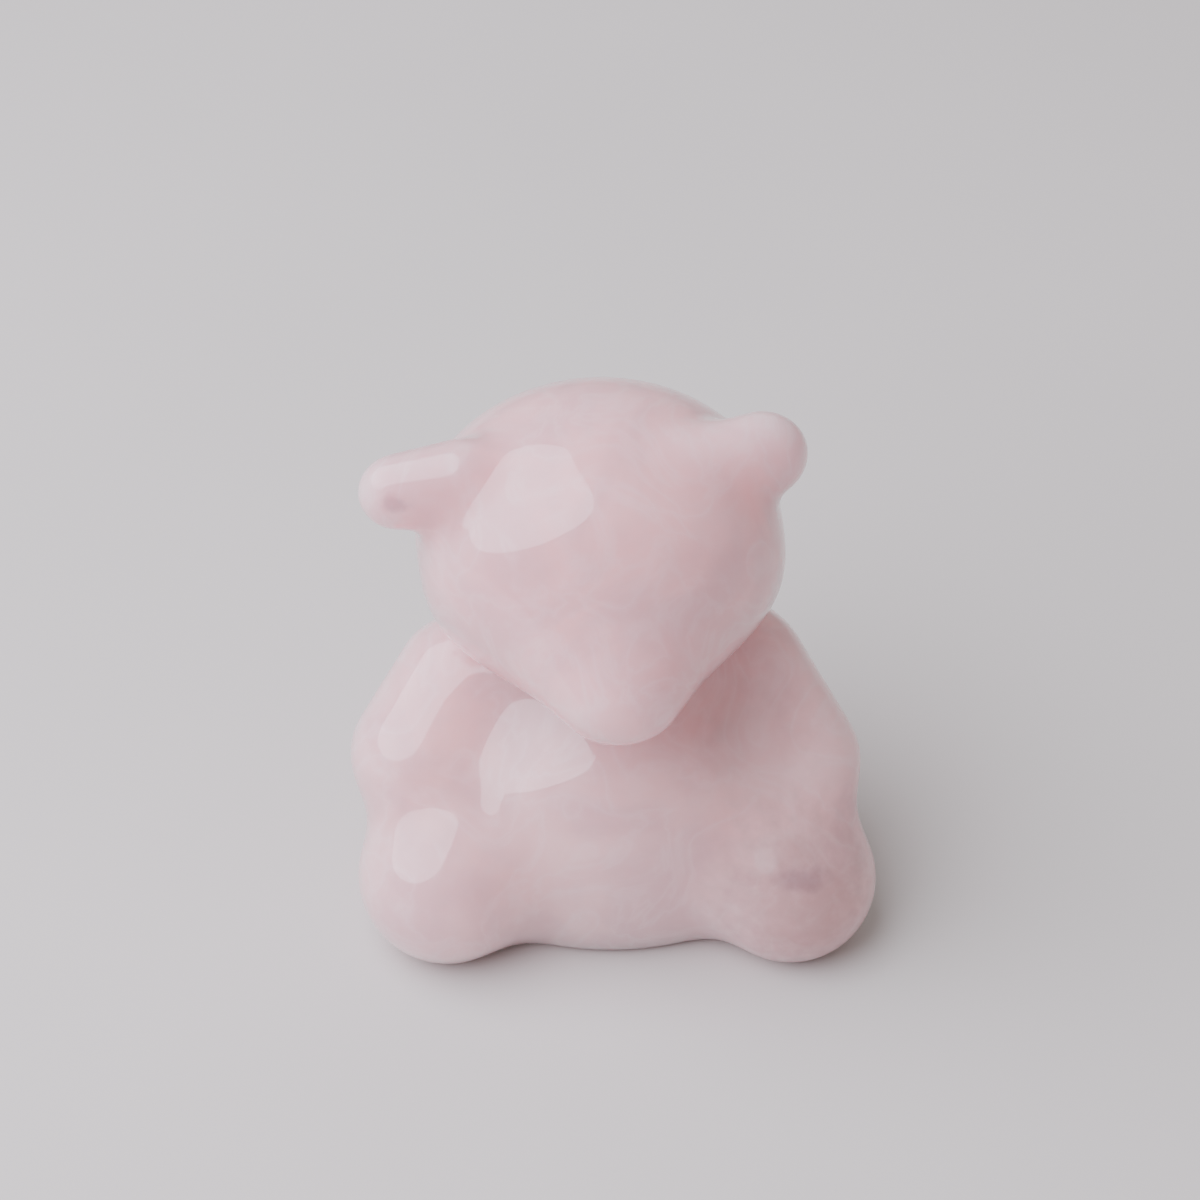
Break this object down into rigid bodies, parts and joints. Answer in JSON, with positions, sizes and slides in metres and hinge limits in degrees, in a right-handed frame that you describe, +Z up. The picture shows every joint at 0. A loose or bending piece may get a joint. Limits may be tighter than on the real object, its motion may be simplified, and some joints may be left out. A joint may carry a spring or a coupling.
{
  "type": "sitting bear figurine",
  "caption": "Small sitting bear carved from one piece of milky pink quartz, flat underneath, used as a shelf or pocket ornament.",
  "frame": {"origin": "centre of the footprint, on the flat underside", "axes": "+Z up from the underside to the crown, the face looks along -Y, +X is to the right of a viewer in front of the face"},
  "size_m": [0.0372, 0.0262, 0.04],
  "materials": {
    "rose_quartz": "polished"
  },
  "bodies": {
    "root": {"torso": "rose_quartz", "head": "rose_quartz", "belly": "rose_quartz", "left_ear": "rose_quartz", "right_ear": "rose_quartz", "left_leg": "rose_quartz", "right_leg": "rose_quartz", "left_arm": "rose_quartz", "right_arm": "rose_quartz"}
  },
  "joints": []
}
